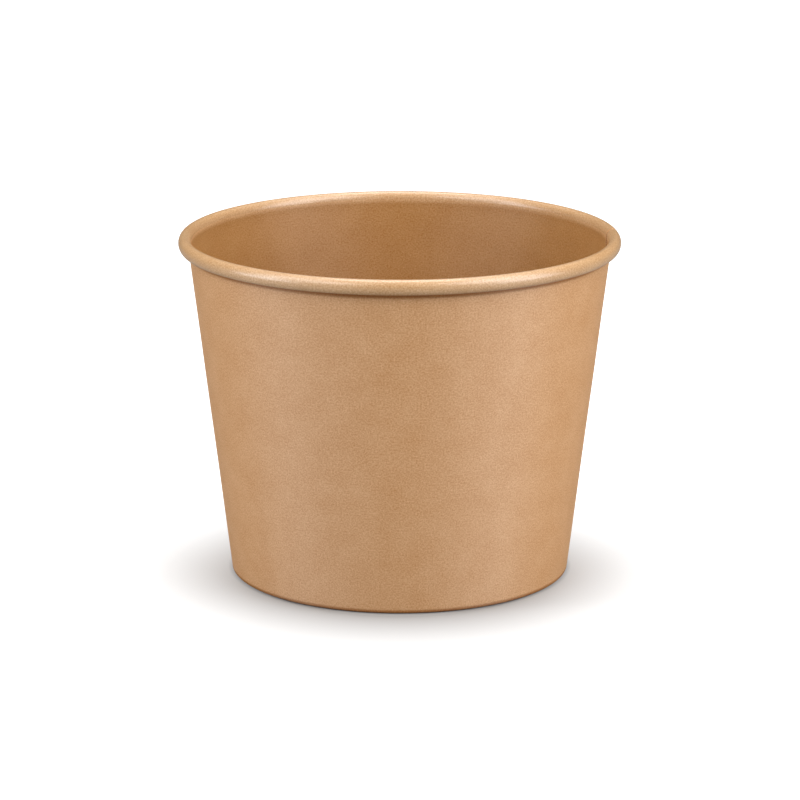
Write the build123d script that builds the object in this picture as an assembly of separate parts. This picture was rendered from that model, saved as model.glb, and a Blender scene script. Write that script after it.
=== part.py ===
from build123d import *
from math import atan2, cos, degrees, radians, sin
import os

# A paper soup container, made as the real one is from two pieces of board.
# The side wall is one sheet: a cone with a lapped side seam, a rolled rim and a hemmed foot.
# The base is a disc whose down-turned skirt is clamped between the wall and the hem.
# Lengths are in millimetres and angles in degrees, with +Z up.
# The origin is on the floor, at the centre of the foot ring. The front faces -Y.

# Outside sizes
rim_diameter = 98.0
foot_diameter = 75.5
height = 76.34

# Boards, and the melted film that bonds one to the next
wall_board = 0.42
base_board = 0.36
seal_film = 0.03

# Rolled rim, measured to the middle of the board
roll_half_width = 1.165
roll_rise = 1.45
roll_drop = 1.30
roll_gap = 0.03
neck_drop = 0.30

# Foot, with the slope that the fold's outer corners take
hem_height = 5.6
fold_slope = 0.30

# Base
base_above_hem = 1.3
base_bend = 0.60
skirt_end_gap = 0.25

# Side seam
seam_width = 7.0
seam_ramp = 1.5
seam_step = 0.30
seam_bearing = 6.0

# Overrun of a cut past the face that it opens
overrun = 0.2

# Chords that stand for each round stretch of the roll, on its outside and in its hollow
upper_chords = 6
lower_chords = 6
upper_hollow_chords = 3
lower_hollow_chords = 3

# Rim, from its outside inwards
half_board = wall_board / 2
turn_pitch = wall_board + roll_gap
roll_radius = rim_diameter / 2 - half_board - roll_half_width
roll_level = height - half_board - roll_rise
roll_start_radius = roll_radius - roll_half_width
neck_level = roll_level - roll_drop - half_board - neck_drop

# Wall, a cone from the foot to the neck
foot_middle_radius = foot_diameter / 2 - half_board
wall_slope = (roll_start_radius - foot_middle_radius) / neck_level
wall_lean = degrees(atan2(wall_slope, 1))

# Layers in the foot, measured inwards from the wall's outer face
skirt_face = wall_board + seal_film
skirt_back = skirt_face + base_board
hem_face = skirt_back + seal_film
hem_back = hem_face + wall_board

# Base, from the hem up
base_underside = hem_height + base_above_hem
base_top = base_underside + base_board
skirt_end = wall_board + skirt_end_gap

# Seam, which runs from the fold to the neck
seam_radius = (foot_middle_radius + roll_start_radius) / 2
seam_angle = degrees(seam_width / seam_radius)
ramp_angle = degrees(seam_ramp / seam_radius)


def layer_radius(level, inset):
    """Radius at a level of a layer that lies inset from the wall's outer face, square to it."""
    outer = foot_middle_radius + half_board + wall_slope * level
    return outer - inset / cos(radians(wall_lean))


def layer(level, inset):
    """Point of a section on such a layer."""
    return (layer_radius(level, inset), level)


def oval(radius, half_width, half_height, start, end, chords):
    """Points round the roll from one angle to another, at equal steps."""
    angles = [radians(start + (end - start) * i / chords) for i in range(chords + 1)]
    return [(radius + half_width * cos(a), roll_level + half_height * sin(a)) for a in angles]


def roll(offset, upper, lower):
    """Points of one face of the rolled board, over the top and back under to the wall.

    offset is the face's distance out from the board's middle.
    """
    half_width = roll_half_width + offset
    over = oval(roll_radius, half_width, roll_rise + offset, 180, 0, upper)
    under = oval(
        roll_radius + turn_pitch / 2,
        half_width - turn_pitch / 2,
        roll_drop + offset,
        0,
        -180,
        lower,
    )
    return over + under[1:]


def revolved(points, bearing=0, angle=360):
    """A closed outline turned about the upright axis."""
    with BuildSketch(Plane.XZ) as section:
        with BuildLine():
            Polyline(points, close=True)
        make_face()
    return Rot(0, 0, bearing) * revolve(section.sketch, Axis.Z, angle)


def sheet():
    """The wall's board from the hem's cut edge to the end of the roll, with no seam yet."""
    dry_face = [
        layer(hem_height, hem_back),
        layer(fold_slope, hem_back),
        (layer_radius(0, hem_back) + fold_slope, 0),
        (layer_radius(0, 0) - fold_slope, 0),
        layer(fold_slope, 0),
        (roll_start_radius + half_board, neck_level),
    ]
    food_face = [
        layer(hem_height, hem_face),
        layer(wall_board, hem_face),
        layer(wall_board, wall_board),
        (roll_start_radius - half_board, neck_level),
    ]
    hollow = roll(-half_board, upper_hollow_chords, lower_hollow_chords)
    outside = roll(half_board, upper_chords, lower_chords)[1:]
    return revolved(dry_face + hollow + list(reversed(food_face + outside)))


def seam_point(level, inset, bearing):
    """A point on a layer of the wall, at a bearing."""
    radius = layer_radius(level, inset)
    return Vector(radius * cos(radians(bearing)), radius * sin(radians(bearing)), level)


def climb(face, depth, low, high):
    """The long wedge between a face of the wall and the board that climbs over the inner edge.

    It rises to seam_step outside the face, and reaches depth inside it.
    """
    run = seam_bearing - ramp_angle * (1 + depth / seam_step)
    ends = []
    for level in (low, high):
        peak = seam_point(level, face - seam_step, seam_bearing)
        heel = seam_point(level, face + depth, seam_bearing)
        toe = seam_point(level, face + depth, run)
        ends.append(Face(Wire.make_polygon([peak, heel, toe])))
    return loft(ends, ruled=True)


def lap():
    """The outer board of the seam, from the fold to the neck, and its climb."""
    strip = revolved(
        [
            layer(fold_slope, half_board),
            layer(fold_slope, -seam_step),
            layer(neck_level, -seam_step),
            layer(neck_level, half_board),
        ],
        seam_bearing,
        seam_angle,
    )
    return strip + climb(0, half_board, fold_slope, neck_level)


def make_side_wall():
    """The sheet with its seam: the lap outside, and the inner edge's step inside."""
    return sheet() + lap() - climb(wall_board, overrun, base_top, neck_level)


def make_base():
    """The base disc and its skirt, which fits between the wall and the hem."""
    return revolved(
        [
            (0, base_underside),
            layer(base_underside, skirt_back),
            layer(skirt_end, skirt_back),
            layer(skirt_end, skirt_face),
            layer(base_top - base_bend, skirt_face),
            (layer_radius(base_top, skirt_face) - base_bend, base_top),
            (0, base_top),
        ]
    )


def main():
    os.makedirs("parts", exist_ok=True)
    export_step(make_side_wall(), "parts/side_wall.step")
    export_step(make_base(), "parts/base.step")


main()
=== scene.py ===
"""Looks of a paper soup container: a lapped, rolled and hemmed side wall, and its base disc.

Lengths are in metres, and angles in radians where no other unit is named.
The front faces -Y and the foot stands on the floor.
"""

import math
from collections import namedtuple

import bmesh
import bpy
from bpy.props import FloatProperty, FloatVectorProperty, IntProperty, PointerProperty
from mathutils import Matrix, Vector, noise


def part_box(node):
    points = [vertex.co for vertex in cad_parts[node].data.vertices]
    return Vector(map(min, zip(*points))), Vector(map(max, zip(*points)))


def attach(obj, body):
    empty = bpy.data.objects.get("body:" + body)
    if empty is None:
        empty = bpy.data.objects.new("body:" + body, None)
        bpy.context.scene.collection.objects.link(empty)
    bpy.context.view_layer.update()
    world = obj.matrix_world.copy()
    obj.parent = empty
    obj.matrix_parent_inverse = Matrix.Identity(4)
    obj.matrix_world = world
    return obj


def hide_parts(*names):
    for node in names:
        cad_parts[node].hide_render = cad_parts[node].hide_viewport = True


bl_info = {
    "name": "Paper Soup Container",
    "version": (1, 0, 0),
    "blender": (4, 5, 0),
    "location": "3D View > Sidebar > Container",
    "description": "Dresses a two-piece kraft board container and sets it in a plain white studio",
    "category": "Object",
}

MM = 0.001

# Steps that each stretch of the sections is drawn in
HEM_STEPS = 6
FOLD_STEPS = 10
WALL_STEPS = 26
NECK_STEPS = 4
ROLL_STEPS = 18
DISC_STEPS = 12
BEND_STEPS = 6

# Steps of the seam round the container, and the turn that an upright cut edge takes
RAMP_STEPS = 5
LAP_STEPS = 8
CUT_TURN = math.radians(0.03)

# Vertices closer than this are one, and edges sharper than this stay sharp
MERGE_DISTANCE = 0.005 * MM
SHARP_ANGLE = math.radians(40)

# How far the corner at the neck is smoothed, as a share of the way to its neighbours
NECK_SHARE = 0.5

# Share of the seam's groove that rolling presses out
ROLL_GROOVE_SHARE = 0.5

# The lap rises to its full step over this many thicknesses of board above the floor
LAP_RISE_BOARDS = 2

# Ends of the knurl, as shares of the hem
KNURL_SHARES = (0.12, 0.80)

# Materials of a piece of board, in their order on the mesh, and the name of its flat layout
FOOD_FACE, DRY_FACE, CUT_EDGE, ROLLED_RIM = range(4)
LAYOUT = "board_layout"

# A face is part of an upright cut edge if its normal points round the container by more than this
CUT_EDGE_SHARE = 0.7

# Finish of a surface: its roughness and its gloss, how far the gloss is drawn out upright, and
# how strong a burnish lies over it
Finish = namedtuple("Finish", "roughness gloss drawn burnish")
COATED_FINISH = Finish(0.55, 0.5, 0.75, 0.0)
PLAIN_FINISH = Finish(0.60, 0.8, 0.75, 0.0)
CUT_FINISH = Finish(0.80, 0.3, 0.0, 0.0)
ROLLED_FINISH = Finish(0.50, 0.8, 0.75, 0.75)

# How far the grain moves the roughness, and what the burnish is like
ROUGHNESS_SPREAD = 0.08
BURNISH_ROUGHNESS = 0.25
BURNISH_IOR = 1.6

# Turns the drawn-out gloss from round the container to upright, as a share of a full turn
UPRIGHT_SHARE = 0.25

# Noise of the clouds, the grain and the fibres
Speckle = namedtuple("Speckle", "detail roughness")
CLOUDS = Speckle(3.0, 0.6)
GRAIN = Speckle(2.0, 0.7)
FIBRES = Speckle(1.0, 0.5)

# Shares of the three in the colour's shade, what is taken off their sum, and the fibres' relief
GRAIN_SHARE = 2.3
CLOUD_SHARE = 0.50
FIBRE_SHARE = 0.12
SHADE_SHIFT = 0.92
FIBRE_RELIEF_SHARE = 0.3

# Directions of the fibres, how much longer than wide they are, and the noise that shows as one
STRAND_TURNS = [math.radians(turn) for turn in (12, 68, 131)]
STRAND_STRETCH = 9.0
STRAND_EDGE = 0.56
STRAND_CORE = 0.72

# How far the grain moves red, green and blue, beside each other
TONE_DEPTHS = (0.40, 0.66, 1.15)

# From one distance along the board to another, its colour turns to a new one
Turning = namedtuple("Turning", "start end colour")

# Distances along the wall's board of the places where its form changes
Marks = namedtuple("Marks", "hem_end fold_end base neck roll_start")

# Inputs and output of a colour mix
MIX_A, MIX_B, MIX_RESULT = 6, 7, 2

# Colour of the light from all round and of the floor beyond the shadow
WHITE = (1, 1, 1, 1)

# Half the floor's width, and the squares along each side of it
FLOOR_HALF_WIDTH = 3.0
FLOOR_SQUARES = 4

# Width of the camera's sensor, in millimetres
SENSOR_WIDTH = 36.0

# Soft panel lamps: power in watts, degrees to the right of the camera's side and up, then metres
Lamp = namedtuple("Lamp", "name power bearing rise distance width height")
LAMPS = [
    Lamp("left_low_lamp", 2.0, -72, 5, 0.8, 0.5, 0.2),
    Lamp("left_tall_lamp", 3.15, -70, 38, 0.9, 0.2, 0.9),
    Lamp("right_low_lamp", 2.15, 66, 5, 0.8, 0.5, 0.2),
    Lamp("right_tall_lamp", 4.3, 67, 38, 0.9, 0.4, 0.9),
    Lamp("front_left_lamp", 2.3, -39, 34, 0.9, 0.4, 0.4),
    Lamp("front_right_lamp", 2.5, 41, 34, 0.9, 0.4, 0.4),
    Lamp("back_left_lamp", 0.3, -145, 50, 0.9, 0.4, 0.4),
    Lamp("back_right_lamp", 0.3, 145, 50, 0.9, 0.4, 0.4),
    Lamp("top_lamp", 5.0, 180, 79, 0.9, 0.5, 0.6),
]

# A screen's values run to this, and turn to light by a straight line below the knee
SCREEN_TOP = 255
SCREEN_KNEE = 0.04045
SCREEN_SLOPE = 12.92
SCREEN_LIFT = 0.055
SCREEN_POWER = 2.4

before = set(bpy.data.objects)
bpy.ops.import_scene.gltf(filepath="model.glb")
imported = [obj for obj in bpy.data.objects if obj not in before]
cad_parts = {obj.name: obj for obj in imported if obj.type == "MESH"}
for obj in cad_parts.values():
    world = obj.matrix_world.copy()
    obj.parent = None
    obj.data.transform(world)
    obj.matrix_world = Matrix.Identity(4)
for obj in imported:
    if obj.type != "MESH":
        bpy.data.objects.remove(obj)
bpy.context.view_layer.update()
wall_low, wall_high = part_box("side_wall")
base_low, base_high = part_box("base")


def length(name, description, default):
    """A property for a length."""
    return FloatProperty(
        name=name, description=description, default=default, unit="LENGTH", precision=5
    )


def angle(name, description, degrees):
    """A property for an angle."""
    default = math.radians(degrees)
    return FloatProperty(name=name, description=description, default=default, unit="ROTATION")


def number(name, description, default):
    """A property for a share, a strength or another number that isn't below zero."""
    return FloatProperty(name=name, description=description, default=default, min=0.0)


def linear(value):
    """Light that a screen gives off for one of its values."""
    share = value / SCREEN_TOP
    if share <= SCREEN_KNEE:
        return share / SCREEN_SLOPE
    return ((share + SCREEN_LIFT) / (1 + SCREEN_LIFT)) ** SCREEN_POWER


def colour(name, description, *screen_values):
    """A property for a colour, given by its red, green and blue from 0 to 255 on a screen."""
    default = [linear(value) for value in screen_values]
    return FloatVectorProperty(
        name=name, description=description, default=default, min=0, max=1, subtype="COLOR"
    )


class ContainerSizes(bpy.types.PropertyGroup):
    """Sizes of the two boards, and of the forms that they are folded to."""

    rim_diameter: length("Rim diameter", "Across the rolled rim", wall_high.x - wall_low.x)
    foot_diameter: length("Foot diameter", "Across the wall's outside at the floor", 75.5 * MM)
    height: length("Height", "From the floor to the top of the roll", wall_high.z - wall_low.z)
    wall_board: length("Wall board", "Thickness of the side wall's board", 0.42 * MM)
    base_board: length("Base board", "Thickness of the base's board", 0.36 * MM)
    seal_film: length("Seal film", "Melted film that bonds one board to the next", 0.03 * MM)
    roll_half_width: length("Roll half width", "From the roll's centre out to mid-board", 1.165 * MM)
    roll_rise: length("Roll rise", "From the roll's centre up to mid-board", 1.45 * MM)
    roll_drop: length("Roll drop", "From the roll's centre down to mid-board", 1.43 * MM)
    roll_gap: length("Roll gap", "Between the wall and the rolled board beside it", 0.03 * MM)
    neck_drop: length("Neck drop", "From the roll to where the wall turns upright", 0.30 * MM)
    hem_height: length("Hem height", "From the floor to the hem's cut edge", 5.6 * MM)
    base_top: length("Base top", "From the floor to the upper face of the base", base_high.z)
    base_bend: length("Base bend", "Outside radius of the bend into the skirt", 0.60 * MM)
    skirt_end: length("Skirt end", "From the floor to the skirt's cut edge", base_low.z)
    seam_width: length("Seam width", "Width of the lap at the side seam", 7.0 * MM)
    seam_ramp: length("Seam ramp", "Over which the board climbs onto the lap", 1.5 * MM)
    seam_step: length("Seam step", "Height of the pressed lap over the wall", 0.30 * MM)
    seam_bearing: angle("Seam bearing", "Of the lap's inner edge, from +X towards +Y", 6.0)
    knurl_depth: length("Knurl depth", "Depth of the ribs pressed into the hem", 0.10 * MM)
    wave_height: length("Wave height", "How far the board strays from a true cone", 0.04 * MM)
    wave_width: length("Wave width", "From one wave of the board to the next", 17.0 * MM)
    round_steps: IntProperty(
        name="Round steps", description="Faces round the container", default=300, min=24
    )


class BoardLook(bpy.types.PropertyGroup):
    """Colours and finish of the kraft board."""

    outer_colour: colour("Outer colour", "Plain kraft of the wall's outside", 201, 153, 107)
    # Partly the coated inside's own tone and partly painted shade: it is darkened to stand in for
    # the dimmer light inside the container
    inner_colour_and_shade: colour("Inner colour and shade", "Coated kraft of the inside", 172, 125, 74)
    rim_colour: colour("Rim colour", "Stretched kraft of the rolled rim", 199, 157, 112)
    edge_colour: colour("Cut edge colour", "Open fibre at a cut edge", 192, 150, 110)
    # Painted shade: a darker kraft tone laid in a band under the roll and along the fold at the
    # floor, where shade falls
    painted_crease_shade: colour("Painted crease shade", "Plain kraft at the roll and the fold", 160, 104, 50)
    painted_shade_width: length("Painted shade width", "Stretch that each crease darkens", 0.75 * MM)
    tone_spread: number("Tone spread", "How far the grain moves the colour", 0.5)
    grain_size: length("Grain size", "From one speck of the grain to the next", 0.36 * MM)
    strand_width: length("Strand width", "From one fibre to the next, across them", 0.30 * MM)
    cloud_size: length("Cloud size", "From one cloudy blotch to the next", 7.0 * MM)
    relief: length("Relief", "Height of the fibres that stand out of the board", 0.006 * MM)


class StudioSettings(bpy.types.PropertyGroup):
    """Lamps, floor and camera of the picture."""

    light_level: number("Light level", "Power of all the lamps, as a share of their own", 1.0)
    room_light: number("Room light", "Strength of the light from all round", 0.05)
    floor_bounce: number("Floor bounce", "Share of the light that the floor sends back", 0.24)
    floor_tone: number("Floor tone", "Share of the light that the camera sees there", 0.41)
    # Painted shadow: near the foot the floor's tone, for the camera and for the light it sends back,
    # is scaled down in a thin ring
    painted_contact_shadow: number("Painted contact shadow", "Share of the floor's tone left at the foot", 0.25)
    contact_shadow_width: length("Contact shadow width", "From the foot out to the floor's full tone", 0.0010)
    # The shadow is partly painted: for the camera the floor's white glow fades in only between
    # shadow start and shadow end, round a point in front of the axis
    shadow_shift: length("Shadow shift", "From the axis forwards to the shadow's middle", 0.008)
    shadow_start: length("Shadow start", "From its middle to where it starts to fade", 0.032)
    shadow_end: length("Shadow end", "From its middle to where the floor is white", 0.079)
    shadow_curve: number("Shadow curve", "Below 1, the shadow fades faster near its start", 0.68)
    camera_distance: length("Camera distance", "From the axis, along the floor", 0.8124)
    camera_height: length("Camera height", "From the floor to the camera", 0.2470)
    camera_offset: length("Camera offset", "To the right of the axis", 0.07 * MM)
    camera_tilt: angle("Camera tilt", "How far the camera looks down", 14.417)
    focal_length: number("Focal length", "In millimetres, on a sensor 36 mm wide", 168.55)


class Plan:
    """Radii, levels and turns of the container, worked out from its sizes."""

    def __init__(self, sizes):
        self.sizes = sizes
        self.half_board = sizes.wall_board / 2
        self.turn_pitch = sizes.wall_board + sizes.roll_gap
        self.roll_radius = sizes.rim_diameter / 2 - self.half_board - sizes.roll_half_width
        self.roll_level = sizes.height - self.half_board - sizes.roll_rise
        self.roll_start_radius = self.roll_radius - sizes.roll_half_width
        self.neck_level = self.roll_level - sizes.roll_drop - self.half_board - sizes.neck_drop
        self.foot_radius = sizes.foot_diameter / 2
        widening = self.roll_start_radius + self.half_board - self.foot_radius
        self.wall_slope = widening / self.neck_level
        self.wall_lean = math.atan(self.wall_slope)
        self.skirt_face = sizes.wall_board + sizes.seal_film
        self.hem_face = self.skirt_face + sizes.base_board + sizes.seal_film
        fold_radius = (self.hem_face - sizes.wall_board) / 2
        self.fold_level = fold_radius / math.cos(self.wall_lean) + sizes.wall_board
        fold_inset = (self.hem_face + sizes.wall_board) / 2
        self.fold_centre = self.layer_radius(self.fold_level, fold_inset)
        self.mean_radius = (self.foot_radius + self.roll_start_radius) / 2
        self.lap_turn = sizes.seam_width / self.mean_radius
        self.ramp_turn = sizes.seam_ramp / self.mean_radius
        self.plain_turn = math.tau - self.ramp_turn - self.lap_turn - CUT_TURN
        self.start_bearing = sizes.seam_bearing + CUT_TURN + self.lap_turn

    def layer_radius(self, level, inset):
        """Radius at a level of a layer that lies inset from the wall's outer face, square to it."""
        return self.foot_radius + self.wall_slope * level - inset / math.cos(self.wall_lean)


def draw_to(bm, line, radius, level, steps):
    """Carries the line on to a radius and level, in equal steps."""
    move = (Vector((radius, 0, level)) - line[-1].co) / steps
    for _ in range(steps):
        grown = bmesh.ops.extrude_vert_indiv(bm, verts=[line[-1]])
        bmesh.ops.translate(bm, verts=grown["verts"], vec=move)
        line.append(grown["verts"][0])


def turn_about(bm, line, radius, level, turn, steps, tallness=1.0):
    """Turns the line's end about a centre, clockwise seen from the front.

    The turn is then made taller by tallness.
    """
    centre = Vector((radius, 0, level))
    old = set(bm.verts)
    settings = {"cent": centre, "axis": (0, 1, 0), "angle": turn, "steps": steps}
    bmesh.ops.spin(bm, geom=line[-1:], use_duplicate=False, **settings)
    new = [vert for vert in bm.verts if vert not in old]
    bmesh.ops.scale(bm, vec=(1, 1, tallness), space=Matrix.Translation(-centre), verts=new)
    line.extend(new)


def mark_distances(line, along):
    """Writes on each vertex how far along the board it lies from the line's start."""
    for last, vert in zip(line, line[1:]):
        vert[along] = last[along] + (vert.co - last.co).length


def sweep(bm, section, turn, steps, closes=False):
    """Turns a section on round the upright axis, and gives its last copy."""
    settings = {"cent": (0, 0, 0), "axis": (0, 0, 1), "angle": turn, "steps": steps}
    swept = bmesh.ops.spin(bm, geom=section, use_merge=closes, use_duplicate=False, **settings)
    return swept["geom_last"]


def thicken(bm, thickness):
    """Gives a face its board's thickness, and returns the vertices and faces that it had before.

    Each vertex keeps the direction across the board, from its food face to its dry face.
    """
    bmesh.ops.recalc_face_normals(bm, faces=bm.faces)
    bm.normal_update()
    across = bm.verts.layers.float_vector.new("across")
    for vert in bm.verts:
        vert[across] = -vert.normal
    food_verts = set(bm.verts)
    food_faces = set(bm.faces)
    bmesh.ops.solidify(bm, geom=bm.faces[:], thickness=thickness)
    bm.normal_update()
    return food_verts, food_faces


def eased(value):
    """A share from 0 to 1 that starts and ends gently."""
    share = min(1.0, max(0.0, value))
    return share * share * (3 - 2 * share)


def draw_roll(bm, line, plan):
    """Turns the wall's line over the top of the roll, and back under it to the wall."""
    sizes = plan.sizes
    over = sizes.roll_half_width + plan.half_board
    under = over - plan.turn_pitch / 2
    rise = (sizes.roll_rise + plan.half_board) / over
    drop = (sizes.roll_drop + plan.half_board) / under
    under_radius = plan.roll_radius + plan.turn_pitch / 2
    turn_about(bm, line, plan.roll_radius, plan.roll_level, math.pi, ROLL_STEPS, rise)
    turn_about(bm, line, under_radius, plan.roll_level, math.pi, ROLL_STEPS, drop)


def draw_wall_line(bm, plan):
    """Draws the food face of the wall's board, from the hem's cut edge to the end of the roll.

    Returns the marks, which are distances along the board.
    """
    sizes = plan.sizes
    along = bm.verts.layers.float.new("along")
    hem_radius = plan.layer_radius(sizes.hem_height, plan.hem_face)
    line = [bm.verts.new((hem_radius, 0, sizes.hem_height))]
    fold_radius = plan.layer_radius(plan.fold_level, plan.hem_face)
    draw_to(bm, line, fold_radius, plan.fold_level, HEM_STEPS)
    hem_end = line[-1]
    turn_about(bm, line, plan.fold_centre, plan.fold_level, -math.pi, FOLD_STEPS)
    fold_end = line[-1]
    base_radius = plan.layer_radius(sizes.base_top, sizes.wall_board)
    draw_to(bm, line, base_radius, sizes.base_top, HEM_STEPS)
    base = line[-1]
    neck_radius = plan.layer_radius(plan.neck_level, sizes.wall_board)
    draw_to(bm, line, neck_radius, plan.neck_level, WALL_STEPS)
    neck = line[-1]
    draw_to(bm, line, plan.roll_start_radius - plan.half_board, plan.roll_level, NECK_STEPS)
    roll_start = line[-1]
    bmesh.ops.smooth_vert(bm, verts=[neck], factor=NECK_SHARE, use_axis_x=True, use_axis_z=True)
    draw_roll(bm, line, plan)
    mark_distances(line, along)
    return Marks(*[vert[along] for vert in (hem_end, fold_end, base, neck, roll_start)])


def draw_base_line(bm, plan):
    """Draws the food face of the base's board, from its middle to the skirt's cut edge."""
    sizes = plan.sizes
    bend_radius = plan.layer_radius(sizes.base_top, plan.skirt_face) - sizes.base_bend
    bend_level = sizes.base_top - sizes.base_bend
    skirt_radius = plan.layer_radius(sizes.skirt_end, plan.skirt_face)
    line = [bm.verts.new((0, 0, sizes.base_top))]
    draw_to(bm, line, bend_radius, sizes.base_top, DISC_STEPS)
    turn_about(bm, line, bend_radius, bend_level, math.pi / 2, BEND_STEPS)
    draw_to(bm, line, skirt_radius, sizes.skirt_end, HEM_STEPS)


def sweep_wall(bm, plan):
    """Turns the wall's section round, from the lap's outer cut edge to its inner one and on."""
    start = Matrix.Rotation(plan.start_bearing, 3, "Z")
    bmesh.ops.rotate(bm, verts=bm.verts, cent=(0, 0, 0), matrix=start)
    section = bm.verts[:] + bm.edges[:]
    section = sweep(bm, section, plan.plain_turn, plan.sizes.round_steps)
    section = sweep(bm, section, plan.ramp_turn, RAMP_STEPS)
    section = sweep(bm, section, CUT_TURN, 1)
    section = sweep(bm, section, plan.lap_turn - CUT_TURN, LAP_STEPS)
    sweep(bm, section, CUT_TURN, 1)
    bmesh.ops.remove_doubles(bm, verts=bm.verts, dist=MERGE_DISTANCE)


def turn_to(plan, place):
    """Turn from the wall's first section to a place, from zero to a full turn."""
    slack = CUT_TURN / 4
    return (math.atan2(place.y, place.x) - plan.start_bearing + slack) % math.tau - slack


def seam_lift(plan, turn, on_food_face):
    """Share of the seam's step that a face of the board stands off at a turn."""
    inner_edge = plan.plain_turn + plan.ramp_turn + CUT_TURN / 2
    outer_edge = math.tau - CUT_TURN / 2
    if turn < inner_edge:
        return max(0.0, (turn - plan.plain_turn) / plan.ramp_turn)
    return 0.0 if on_food_face or turn > outer_edge else 1.0


def lift_seam(bm, plan, marks, food_verts):
    """Lifts the board onto its lap, so that both cut edges of the seam stand out as steps."""
    along, across = bm.verts.layers.float["along"], bm.verts.layers.float_vector["across"]
    for vert in bm.verts:
        on_food_face = vert in food_verts
        past_neck = vert[along] - marks.neck
        if on_food_face:
            kept = 1 - ROLL_GROOVE_SHARE * eased(past_neck / (marks.roll_start - marks.neck))
        else:
            kept = 1 if past_neck < MERGE_DISTANCE else 0
        kept *= min(1.0, vert.co.z / (LAP_RISE_BOARDS * plan.sizes.wall_board))
        share = seam_lift(plan, turn_to(plan, vert.co), on_food_face)
        vert.co += vert[across] * plan.sizes.seam_step * share * kept


def press_knurl(bm, plan, marks, food_verts):
    """Presses fine upright ribs into the hem's dry face, where a wheel rolls it on the skirt."""
    along, across = bm.verts.layers.float["along"], bm.verts.layers.float_vector["across"]
    low, high = (marks.hem_end * share for share in KNURL_SHARES)
    rib_turn = plan.plain_turn / plan.sizes.round_steps
    for vert in bm.verts:
        turn = turn_to(plan, vert.co)
        in_band = low < vert[along] < high and turn < plan.plain_turn - rib_turn / 2
        if in_band and vert not in food_verts and round(turn / rib_turn) % 2:
            vert.co -= vert[across] * plan.sizes.knurl_depth


def let_stray(bm, plan, marks):
    """Lets the wall stray a little from a true cone between base and rim, as formed board does."""
    along = bm.verts.layers.float["along"]
    width = plan.sizes.wave_width
    for vert in bm.verts:
        from_base = eased((vert[along] - marks.base) / width)
        freedom = from_base * eased((marks.neck - vert[along]) / width)
        outward = Vector((*vert.co.xy, 0)).normalized()
        vert.co += outward * plan.sizes.wave_height * freedom * noise.noise(vert.co / width)


def rest_on_floor(bm):
    """Flattens the fold where thickening brought it below the floor."""
    for vert in bm.verts:
        vert.co.z = max(vert.co.z, 0.0)


def lay_flat(bm, plan):
    """Lays the board out flat as a UV map in metres: round the container, and along the board."""
    along = bm.verts.layers.float["along"]
    layout = bm.loops.layers.uv.new(LAYOUT)
    for face in bm.faces:
        turns = [turn_to(plan, loop.vert.co) for loop in face.loops]
        closes = max(turns) - min(turns) > math.pi
        for loop, turn in zip(face.loops, turns):
            round_turn = turn + math.tau if closes and turn < math.pi else turn
            loop[layout].uv = (round_turn * plan.mean_radius, loop.vert[along])


def sort_faces(bm, food_verts, food_faces):
    """Gives each face its material: food face, dry face or cut edge.

    A cut edge joins the other two, or stands on a step of the seam.
    """
    for face in bm.faces:
        centre = face.calc_center_median()
        around = Vector((-centre.y, centre.x, 0)).normalized()
        on_food_face = [vert in food_verts for vert in face.verts]
        joins_both = any(on_food_face) and not all(on_food_face)
        if joins_both or abs(face.normal.dot(around)) > CUT_EDGE_SHARE:
            face.material_index = CUT_EDGE
        else:
            face.material_index = FOOD_FACE if face in food_faces else DRY_FACE


def set_roll_apart(bm, marks):
    """Gives the rolled rim a material of its own, because rolling stretches and burnishes it."""
    along = bm.verts.layers.float["along"]
    for face in bm.faces:
        past_start = min(vert[along] for vert in face.verts) > marks.roll_start - MERGE_DISTANCE
        if face.material_index == FOOD_FACE and past_start:
            face.material_index = ROLLED_RIM


def add_object(name, data):
    """Adds an object to the scene."""
    made = bpy.data.objects.new(name, data)
    bpy.context.scene.collection.objects.link(made)
    return made


def mesh_of(name, bm, materials):
    """Makes a mesh from a bmesh, with its materials in order."""
    mesh = bpy.data.meshes.new(name)
    bm.to_mesh(mesh)
    bm.free()
    for material in materials:
        mesh.materials.append(material)
    return mesh


def add_piece(name, bm, materials, node):
    """Makes a piece from a bmesh, and sets it in place of the node that it stands for."""
    mesh = mesh_of(name, bm, materials)
    mesh.polygons.foreach_set("use_smooth", [True] * len(mesh.polygons))
    mesh.set_sharp_from_angle(angle=SHARP_ANGLE)
    piece = add_object(name, mesh)
    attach(piece, "root")
    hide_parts(node)


def emptied_tree(holder):
    """The node tree of a material or a world, with nothing in it."""
    holder.use_nodes = True
    holder.node_tree.nodes.clear()
    return holder.node_tree


def add_node(tree, kind, inputs=None, **settings):
    """Adds a shader node. An input is given a value, or the output of another node."""
    made = tree.nodes.new(kind)
    for name, value in settings.items():
        setattr(made, name, value)
    for name, value in (inputs or {}).items():
        if isinstance(value, bpy.types.NodeSocket):
            tree.links.new(value, made.inputs[name])
        else:
            made.inputs[name].default_value = value
    return made


def calculated(tree, operation, first, second):
    """The result of a sum on two values."""
    return add_node(tree, "ShaderNodeMath", {0: first, 1: second}, operation=operation).outputs[0]


def ranged(tree, value, start, end, low=0.0, high=1.0, **settings):
    """A value that goes from low to high while another goes from start to end."""
    values = {"Value": value, "From Min": start, "From Max": end, "To Min": low, "To Max": high}
    return add_node(tree, "ShaderNodeMapRange", values, **settings).outputs[0]


def mixed(tree, share, first, second):
    """A colour that goes from the first to the second as the share goes from 0 to 1."""
    values = {0: share, MIX_A: first, MIX_B: second}
    return add_node(tree, "ShaderNodeMix", values, data_type="RGBA").outputs[MIX_RESULT]


def speckle(tree, place, size, kind):
    """Soft noise of a given size."""
    values = {
        "Vector": place,
        "Scale": 1 / size,
        "Detail": kind.detail,
        "Roughness": kind.roughness,
    }
    return add_node(tree, "ShaderNodeTexNoise", values).outputs["Fac"]


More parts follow.
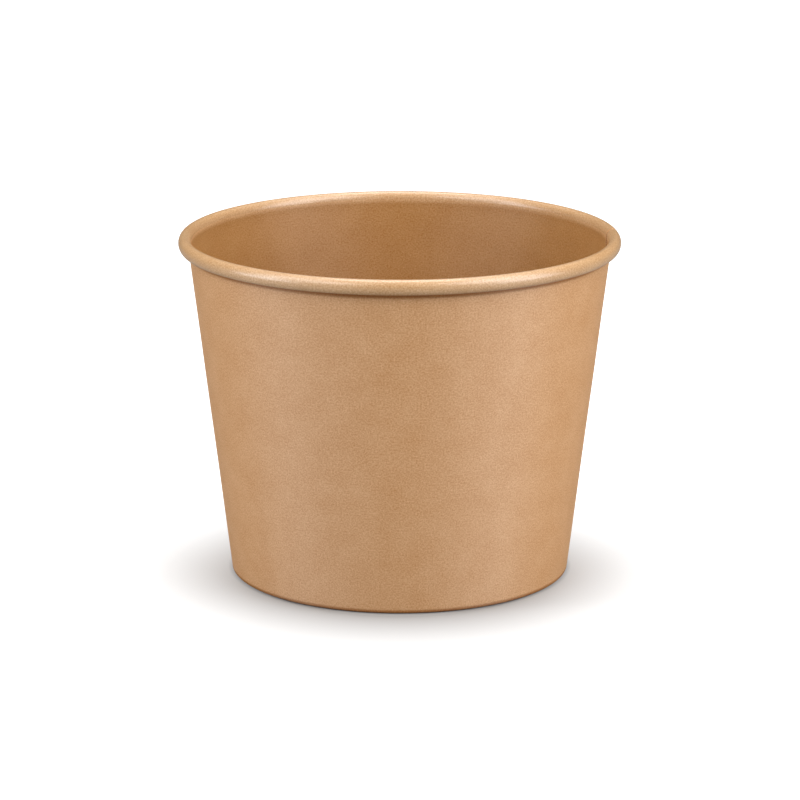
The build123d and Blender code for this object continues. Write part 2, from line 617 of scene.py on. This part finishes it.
def strands(tree, place, width):
    """Short fibres that lie in three directions across each other."""
    layers = []
    for turn in STRAND_TURNS:
        values = {"Vector": place, "Rotation": (0, 0, turn)}
        turned = add_node(tree, "ShaderNodeMapping", values).outputs[0]
        values = {"Vector": turned, "Scale": (1 / STRAND_STRETCH, 1, 1)}
        drawn_out = add_node(tree, "ShaderNodeMapping", values).outputs[0]
        field = speckle(tree, drawn_out, width, FIBRES)
        layers.append(ranged(tree, field, STRAND_EDGE, STRAND_CORE))
    topmost = layers[0]
    for layer in layers[1:]:
        topmost = calculated(tree, "MAXIMUM", topmost, layer)
    return topmost


def board_texture(tree, place, look):
    """The grain of the board, and the shade and the relief that grain, fibres and clouds give."""
    clouds = speckle(tree, place, look.cloud_size, CLOUDS)
    grain = speckle(tree, place, look.grain_size, GRAIN)
    fibres = strands(tree, place, look.strand_width)
    shade = calculated(tree, "MULTIPLY", grain, GRAIN_SHARE)
    for layer, share in ((clouds, CLOUD_SHARE), (fibres, FIBRE_SHARE)):
        shade = calculated(tree, "ADD", shade, calculated(tree, "MULTIPLY", layer, share))
    shade = calculated(tree, "SUBTRACT", shade, SHADE_SHIFT)
    raised = calculated(tree, "MULTIPLY", fibres, FIBRE_RELIEF_SHARE)
    return grain, shade, calculated(tree, "ADD", grain, raised)


def toned(tree, tone, look, shade):
    """A colour that the grain's shade moves between a deeper and a paler tone."""
    depths = [look.tone_spread * depth for depth in TONE_DEPTHS]
    deep = [value * (1 - depth) for value, depth in zip(tone, depths)]
    pale = [value * (1 + depth) for value, depth in zip(tone, depths)]
    return mixed(tree, shade, (*deep, 1), (*pale, 1))


def board_colour(tree, place, tone, look, shade, turnings):
    """The colour of the board, which each turning takes on to a new one."""
    reached = toned(tree, tone, look, shade)
    for turning in turnings:
        along = add_node(tree, "ShaderNodeSeparateXYZ", {0: place}).outputs["Y"]
        share = ranged(tree, along, turning.start, turning.end, interpolation_type="SMOOTHSTEP")
        reached = mixed(tree, share, reached, toned(tree, turning.colour, look, shade))
    return reached


def kraft(name, tone, look, finish, layout, turnings=()):
    """Kraft board: grain, fibres and cloudy blotches in its colour, and a low relief of fibres.

    Where the piece has a flat layout, the board's grain follows it.
    """
    material = bpy.data.materials.new(name)
    tree = emptied_tree(material)
    place = add_node(tree, "ShaderNodeTexCoord").outputs["UV" if layout else "Object"]
    grain, shade, relief = board_texture(tree, place, look)
    least, most = finish.roughness - ROUGHNESS_SPREAD, finish.roughness + ROUGHNESS_SPREAD
    bump = add_node(tree, "ShaderNodeBump", {"Height": relief, "Distance": look.relief})
    values = {
        "Base Color": board_colour(tree, place, tone, look, shade, turnings),
        "Roughness": ranged(tree, grain, 0.0, 1.0, least, most),
        "Normal": bump.outputs[0],
        "Specular IOR Level": finish.gloss,
        "Coat Weight": finish.burnish,
        "Coat Roughness": BURNISH_ROUGHNESS,
        "Coat IOR": BURNISH_IOR,
    }
    if layout and finish.drawn:
        tangent = add_node(tree, "ShaderNodeTangent", direction_type="UV_MAP", uv_map=LAYOUT)
        values["Anisotropic"] = finish.drawn
        values["Anisotropic Rotation"] = UPRIGHT_SHARE
        values["Tangent"] = tangent.outputs[0]
    surface = add_node(tree, "ShaderNodeBsdfPrincipled", values)
    add_node(tree, "ShaderNodeOutputMaterial", {"Surface": surface.outputs[0]})
    return material


def board_materials(board, look, layout, to_rim=(), to_painted_shade=()):
    """The materials of a piece of board: its food face, its dry face and its cut edges."""
    return [
        # The food face carries the inside's colour, darkened with painted shade
        kraft(f"{board}_coated_kraft_and_shade", look.inner_colour_and_shade, look, COATED_FINISH, layout, to_rim),
        kraft(f"{board}_plain_kraft", look.outer_colour, look, PLAIN_FINISH, layout, to_painted_shade),
        kraft(f"{board}_cut_fibre", look.edge_colour, look, CUT_FINISH, layout),
    ]


def wall_materials(look, marks):
    """The materials of the wall's board, the rolled rim's last."""
    # The painted shade of the inside fades out as the food face turns to the rim's own colour on the
    # way up into the roll
    to_rim = [Turning((marks.neck + marks.roll_start) / 2, marks.roll_start, look.rim_colour)]
    # Painted shade: the plain kraft turns to the darker crease tone in a band at the fold by the
    # floor and in a band under the roll
    third = look.painted_shade_width / 3
    to_painted_shade = [
        Turning(marks.fold_end - 2 * third, marks.fold_end - third, look.painted_crease_shade),
        Turning(marks.fold_end, marks.fold_end + 2 * third, look.outer_colour),
        Turning(marks.neck - 2 * third, marks.neck + third, look.painted_crease_shade),
    ]
    materials = board_materials("wall", look, True, to_rim, to_painted_shade)
    return [*materials, kraft("wall_rolled_kraft", look.rim_colour, look, ROLLED_FINISH, True)]


def hang_lamp(lamp, target, light_level):
    """Hangs a soft panel lamp round the container, facing a target."""
    data = bpy.data.lights.new(lamp.name, "AREA")
    data.shape = "RECTANGLE"
    data.size = lamp.width
    data.size_y = lamp.height
    data.energy = lamp.power * light_level
    bearing, rise = math.radians(lamp.bearing), math.radians(lamp.rise)
    level = math.cos(rise)
    away = Vector((math.sin(bearing) * level, -math.cos(bearing) * level, math.sin(rise)))
    holder = add_object(lamp.name, data)
    holder.location = target + away * lamp.distance
    holder.rotation_euler = (-away).to_track_quat("-Z", "Y").to_euler()


def grey(tone):
    """A colour as bright as its tone, with no hue."""
    return (tone, tone, tone, 1)


def floor_material(settings, foot_radius):
    """Pale cloth with the container's soft shadow, which turns white for the camera beyond it. The
    shadow is partly the lamps' own and partly painted: the camera's white glow fades in only away
    from a point in front of the foot, and a thin ring at the foot is darkened.
    """
    material = bpy.data.materials.new("studio_floor")
    tree = emptied_tree(material)
    seen = add_node(tree, "ShaderNodeLightPath").outputs["Is Camera Ray"]
    place = add_node(tree, "ShaderNodeTexCoord").outputs["Object"]
    # Painted shadow, in part: the camera's white glow is held back near a point in front of the
    # foot, so the floor stays grey there whatever light falls on it
    values = {0: place, 1: (0, -settings.shadow_shift, 0)}
    out = add_node(tree, "ShaderNodeVectorMath", values, operation="DISTANCE").outputs["Value"]
    share = ranged(tree, out, settings.shadow_start, settings.shadow_end)
    whiteness = calculated(tree, "POWER", share, settings.shadow_curve)
    lift = calculated(tree, "MULTIPLY", seen, whiteness)
    glow = add_node(tree, "ShaderNodeEmission", {"Color": WHITE, "Strength": lift})
    tone = mixed(tree, seen, grey(settings.floor_bounce), grey(settings.floor_tone))
    values = {0: place}
    out = add_node(tree, "ShaderNodeVectorMath", values, operation="LENGTH").outputs["Value"]
    # Painted contact shadow: the floor's tone is scaled down in a thin ring round the foot
    start, end = foot_radius - settings.contact_shadow_width, foot_radius + settings.contact_shadow_width
    values = {0: tone, "Scale": ranged(tree, out, start, end, low=settings.painted_contact_shadow)}
    tone = add_node(tree, "ShaderNodeVectorMath", values, operation="SCALE").outputs[0]
    cloth = add_node(tree, "ShaderNodeBsdfDiffuse", {"Color": tone})
    both = add_node(tree, "ShaderNodeAddShader", {0: glow.outputs[0], 1: cloth.outputs[0]})
    add_node(tree, "ShaderNodeOutputMaterial", {"Surface": both.outputs[0]})
    return material


def lay_floor(settings, foot_radius):
    """Lays a wide flat floor under the container."""
    bm = bmesh.new()
    squares = {"x_segments": FLOOR_SQUARES, "y_segments": FLOOR_SQUARES}
    bmesh.ops.create_grid(bm, size=FLOOR_HALF_WIDTH, **squares)
    mesh = mesh_of("floor", bm, [floor_material(settings, foot_radius)])
    floor = add_object("floor", mesh)


def light_room(settings):
    """Lights the room evenly from all round, and shows it to the camera as white."""
    world = bpy.data.worlds.new("room")
    bpy.context.scene.world = world
    tree = emptied_tree(world)
    seen = add_node(tree, "ShaderNodeLightPath").outputs["Is Camera Ray"]
    strength = calculated(tree, "MAXIMUM", seen, settings.room_light)
    light = add_node(tree, "ShaderNodeBackground", {"Color": WHITE, "Strength": strength})
    add_node(tree, "ShaderNodeOutputWorld", {"Surface": light.outputs[0]})


def set_camera(settings):
    """Stands the camera in front of the container, looking a little down."""
    data = bpy.data.cameras.new("camera")
    data.lens = settings.focal_length
    data.sensor_width = SENSOR_WIDTH
    camera = add_object("camera", data)
    camera.location = (settings.camera_offset, -settings.camera_distance, settings.camera_height)
    camera.rotation_euler = (math.pi / 2 - settings.camera_tilt, 0, 0)
    bpy.context.scene.camera = camera


class CONTAINER_OT_side_wall(bpy.types.Operator):
    """Make the side wall from one sheet of board: rolled rim, lapped seam and hemmed foot"""

    bl_idname = "container.side_wall"
    bl_label = "Side Wall"

    def execute(self, context):
        plan = Plan(context.scene.container_sizes)
        bm = bmesh.new()
        marks = draw_wall_line(bm, plan)
        sweep_wall(bm, plan)
        food_verts, food_faces = thicken(bm, plan.sizes.wall_board)
        lift_seam(bm, plan, marks, food_verts)
        press_knurl(bm, plan, marks, food_verts)
        let_stray(bm, plan, marks)
        rest_on_floor(bm)
        bm.normal_update()
        sort_faces(bm, food_verts, food_faces)
        set_roll_apart(bm, marks)
        lay_flat(bm, plan)
        materials = wall_materials(context.scene.container_look, marks)
        add_piece("wall_sheet", bm, materials, "side_wall")
        return {"FINISHED"}


class CONTAINER_OT_base(bpy.types.Operator):
    """Make the base: a disc of board with its edge turned down into a skirt"""

    bl_idname = "container.base"
    bl_label = "Base"

    def execute(self, context):
        plan = Plan(context.scene.container_sizes)
        bm = bmesh.new()
        draw_base_line(bm, plan)
        half_steps = plan.sizes.round_steps // 2
        sweep(bm, bm.verts[:] + bm.edges[:], math.tau, half_steps, closes=True)
        bmesh.ops.remove_doubles(bm, verts=bm.verts, dist=MERGE_DISTANCE)
        food_verts, food_faces = thicken(bm, plan.sizes.base_board)
        sort_faces(bm, food_verts, food_faces)
        materials = board_materials("base", context.scene.container_look, False)
        add_piece("base_disc", bm, materials, "base")
        return {"FINISHED"}


class CONTAINER_OT_studio(bpy.types.Operator):
    """Set up the pale floor, the soft lamps and the camera"""

    bl_idname = "container.studio"
    bl_label = "Studio"

    def execute(self, context):
        settings = context.scene.container_studio
        sizes = context.scene.container_sizes
        middle = Vector((0, 0, sizes.height / 2))
        for lamp in LAMPS:
            hang_lamp(lamp, middle, settings.light_level)
        lay_floor(settings, sizes.foot_diameter / 2)
        light_room(settings)
        set_camera(settings)
        context.scene.view_settings.view_transform = "Standard"
        return {"FINISHED"}


class CONTAINER_PT_panel(bpy.types.Panel):
    """Sidebar panel of the container"""

    bl_label = "Paper Soup Container"
    bl_idname = "CONTAINER_PT_panel"
    bl_space_type = "VIEW_3D"
    bl_region_type = "UI"
    bl_category = "Container"

    def draw(self, context):
        scene = context.scene
        column = self.layout.column()
        for operator in OPERATORS:
            column.operator(operator.bl_idname)
        for group in (scene.container_sizes, scene.container_look, scene.container_studio):
            column.separator()
            for name in group.__annotations__:
                column.prop(group, name)


OPERATORS = (CONTAINER_OT_side_wall, CONTAINER_OT_base, CONTAINER_OT_studio)
CLASSES = (ContainerSizes, BoardLook, StudioSettings, *OPERATORS, CONTAINER_PT_panel)


def register():
    for each in CLASSES:
        bpy.utils.register_class(each)
    bpy.types.Scene.container_sizes = PointerProperty(type=ContainerSizes)
    bpy.types.Scene.container_look = PointerProperty(type=BoardLook)
    bpy.types.Scene.container_studio = PointerProperty(type=StudioSettings)


def unregister():
    del bpy.types.Scene.container_studio
    del bpy.types.Scene.container_look
    del bpy.types.Scene.container_sizes
    for each in reversed(CLASSES):
        bpy.utils.unregister_class(each)


def main():
    register()
    bpy.ops.container.side_wall()
    bpy.ops.container.base()
    bpy.ops.container.studio()


if __name__ == "__main__":
    main()
